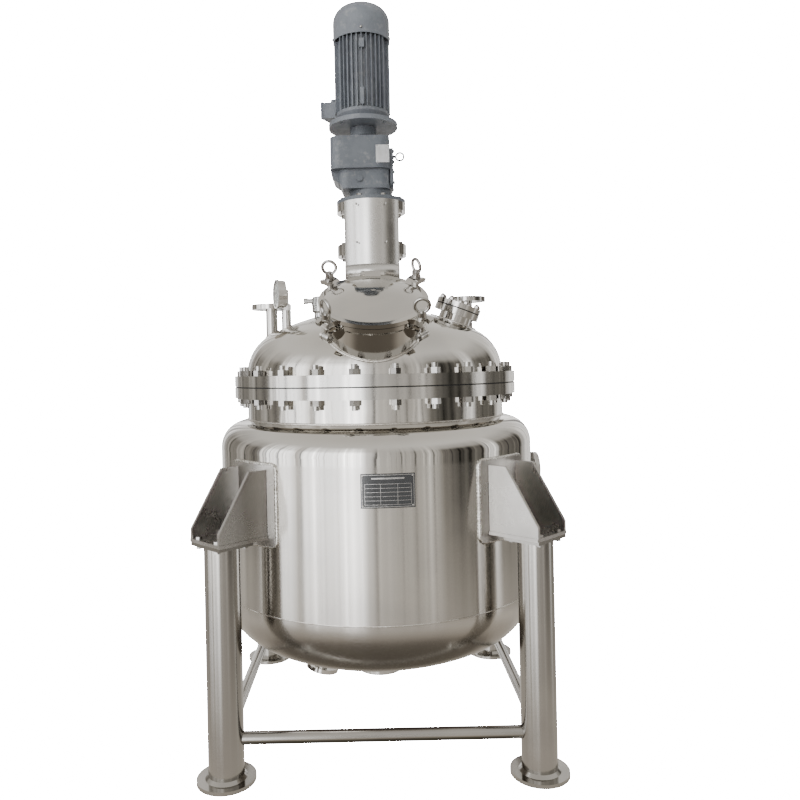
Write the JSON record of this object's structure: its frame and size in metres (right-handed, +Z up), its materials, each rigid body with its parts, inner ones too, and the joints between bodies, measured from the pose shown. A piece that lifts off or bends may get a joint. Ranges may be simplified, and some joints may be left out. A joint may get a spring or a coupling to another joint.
{
  "type": "high-pressure reactor",
  "caption": "Jacketed stainless steel pressure reactor on four legs, with a bolted domed cover, slanted manhole, nozzles, sight glass, gauge and a top-mounted geared agitator drive.",
  "frame": {"origin": "on the floor, under the vessel axis", "axes": "+Z up along the vessel axis, -Y towards the manhole, +X to the right as seen from the manhole side"},
  "size_m": [1.1631, 1.137, 2.53],
  "materials": {
    "drive_paint": "satin blue-grey machine enamel on cast iron",
    "fastener_steel": "bright machined fasteners",
    "flange_steel": "machined stainless steel with turning marks",
    "gasket_black": "black sealing rubber",
    "gauge_case": "polished gauge case",
    "leg_steel": "brushed stainless tube, darker and slightly bluish",
    "mirror_steel": "mirror-polished stainless steel with soft horizontal grinding",
    "motor_paint": "satin blue-grey machine enamel",
    "pointer_black": "black pointer",
    "satin_steel": "satin stainless steel, fine brushing",
    "sight_glass": "clear toughened glass"
  },
  "bodies": {
    "vessel": {"body_gasket": "gasket_black", "bottom_outlet": "flange_steel", "cover_flange": "flange_steel", "cross_tubes": "leg_steel", "drive_nozzle": "mirror_steel", "fan_cowl": "motor_paint", "flange_nuts": "fastener_steel", "flange_studs": "fastener_steel", "gas_nozzle": "flange_steel", "inner_vessel": "mirror_steel", "jacket": "mirror_steel", "jacket_nozzles": "flange_steel", "lantern": "flange_steel", "lantern_bolts": "fastener_steel", "lantern_guard": "mirror_steel", "leg_front_left": "leg_steel", "leg_front_right": "leg_steel", "leg_rear_left": "leg_steel", "leg_rear_right": "leg_steel", "lug_bolts": "fastener_steel", "lug_front_left": "satin_steel", "lug_front_right": "satin_steel", "lug_rear_left": "satin_steel", "lug_rear_right": "satin_steel", "manhole_cover": "mirror_steel", "manhole_gasket": "gasket_black", "manhole_neck": "mirror_steel", "manhole_pins": "fastener_steel", "motor_end_shield": "motor_paint", "motor_frame": "motor_paint", "oil_plug": "drive_paint", "pressure_gauge": "gauge_case", "reducer_eyebolt": "drive_paint", "reducer_housing": "drive_paint", "reducer_side_cover": "drive_paint", "reducer_top_cover": "drive_paint", "shaft_seal": "satin_steel", "sight_glass_base": "flange_steel", "sight_glass_disc": "sight_glass", "sight_glass_gasket": "gasket_black", "sight_glass_ring": "flange_steel", "terminal_box": "motor_paint", "vapour_nozzle": "flange_steel", "vent_valve": "satin_steel", "vessel_cover": "mirror_steel", "vessel_flange": "flange_steel"},
    "agitator": {"agitator_shaft": "satin_steel", "shaft_coupling": "satin_steel", "impellers": "satin_steel"},
    "motor_rotor": {"motor_rotor": "satin_steel", "cooling_fan": "motor_paint"},
    "gauge_pointer": {"gauge_pointer": "pointer_black"},
    "swing_bolt_front_left": {"swing_bolt_front_left": "fastener_steel", "eye_nut_front_left": "fastener_steel"},
    "swing_bolt_front_right": {"swing_bolt_front_right": "fastener_steel", "eye_nut_front_right": "fastener_steel"},
    "swing_bolt_rear_right": {"swing_bolt_rear_right": "fastener_steel", "eye_nut_rear_right": "fastener_steel"},
    "swing_bolt_rear_left": {"swing_bolt_rear_left": "fastener_steel", "eye_nut_rear_left": "fastener_steel"}
  },
  "joints": [
    {"name": "swing_bolt_front_left_swing", "type": "hinge", "parent": "vessel", "child": "swing_bolt_front_left", "pos_m": [-0.14142, -0.47498, 1.32038], "axis": [0.7071, -0.5997, -0.3747], "range_deg": [0, 90]},
    {"name": "swing_bolt_front_right_swing", "type": "hinge", "parent": "vessel", "child": "swing_bolt_front_right", "pos_m": [0.14142, -0.47498, 1.32038], "axis": [0.7071, 0.5997, 0.3747], "range_deg": [0, 90]},
    {"name": "swing_bolt_rear_right_swing", "type": "hinge", "parent": "vessel", "child": "swing_bolt_rear_right", "pos_m": [0.14142, -0.23512, 1.47026], "axis": [-0.7071, 0.5997, 0.3747], "range_deg": [0, 90]},
    {"name": "swing_bolt_rear_left_swing", "type": "hinge", "parent": "vessel", "child": "swing_bolt_rear_left", "pos_m": [-0.14142, -0.23512, 1.47026], "axis": [-0.7071, -0.5997, -0.3747], "range_deg": [0, 90]},
    {"name": "agitator_spin", "type": "hinge", "parent": "vessel", "child": "agitator", "pos_m": [0, 0, 1.7], "axis": [0, 0, 1], "continuous": true},
    {"name": "motor_spin", "type": "hinge", "parent": "vessel", "child": "motor_rotor", "pos_m": [-0.023, 0, 2.2], "axis": [0, 0, 1], "continuous": true},
    {"name": "gauge_pointer_turn", "type": "hinge", "parent": "vessel", "child": "gauge_pointer", "pos_m": [-0.299, -0.15, 1.483], "axis": [0.9397, 0.342, 0], "range_deg": [0, 270]}
  ],
  "couplings": [
    {"joint": "motor_spin", "follows": "agitator_spin", "ratio": 17}
  ]
}
